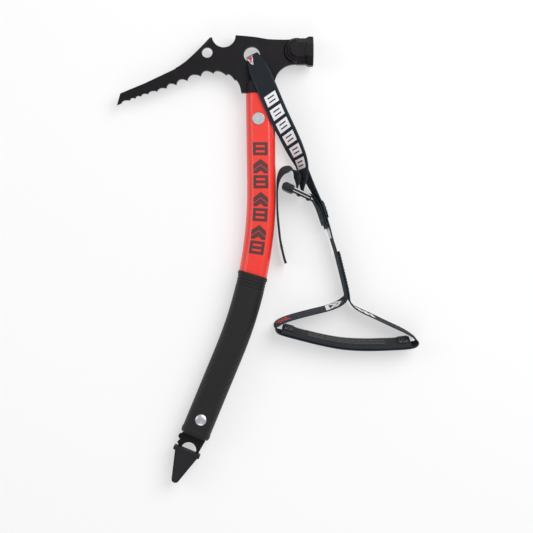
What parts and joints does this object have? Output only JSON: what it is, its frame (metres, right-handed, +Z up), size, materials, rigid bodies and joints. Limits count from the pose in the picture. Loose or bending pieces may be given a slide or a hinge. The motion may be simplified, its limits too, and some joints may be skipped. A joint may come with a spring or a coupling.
{
  "type": "technical ice axe",
  "caption": "Curved-shaft ice axe with toothed pick, hammer head, rubber grip, guarded spike and an adjustable leash with padded wrist loop.",
  "frame": {"origin": "under the middle of the bounding box of the axe without its leash, on the surface it lies on", "axes": "+X from the pick to the hammer, +Y from the spike to the head along the axe, +Z up, across the flat of the axe"},
  "size_m": [0.3016, 0.4464, 0.0288],
  "materials": {
    "forged_steel": "blackened forged steel, satin",
    "shaft_paint": "red lacquered aluminium, satin gloss",
    "rivet_steel": "bright steel",
    "packer": "matt",
    "grip_rubber": "moulded rubber, matt",
    "guard_rubber": "smooth rubber",
    "webbing": "woven polyamide with a blue selvage",
    "buckle_plastic": "moulded",
    "pad_fabric": "brushed fabric over foam"
  },
  "bodies": {
    "axe": {"head": "forged_steel", "shaft": "shaft_paint", "head_rivet": "rivet_steel", "head_rivet_washer": "rivet_steel", "tang_packer_front": "packer", "tang_packer_back": "packer", "grip_sleeve": "grip_rubber", "spike": "forged_steel", "spike_packer_front": "packer", "spike_packer_back": "packer", "grip_rivet": "rivet_steel", "grip_rivet_washer": "rivet_steel"},
    "guard": {"spike_guard": "guard_rubber"},
    "leash": {"leash_webbing": "webbing", "leash_buckle": "buckle_plastic", "buckle_tab": "webbing", "junction_patch": "webbing"},
    "wrist_loop": {"wrist_webbing": "webbing", "wrist_pad": "pad_fabric", "pad_end_tabs": "webbing"}
  },
  "joints": [
    {"name": "guard_pull", "type": "slide", "parent": "axe", "child": "guard", "axis": [-0.3827, -0.9239, 0], "range_m": [0, 0.06]},
    {"name": "leash_swing", "type": "hinge", "parent": "axe", "child": "leash", "pos_m": [0.0368, 0.2043, 0.014], "axis": [0, 0, 1], "range_deg": [0, 22]},
    {"name": "wrist_swing", "type": "hinge", "parent": "leash", "child": "wrist_loop", "pos_m": [0.1177, 0.0166, 0.0115], "axis": [0, 0, 1], "range_deg": [-10, 25]}
  ]
}
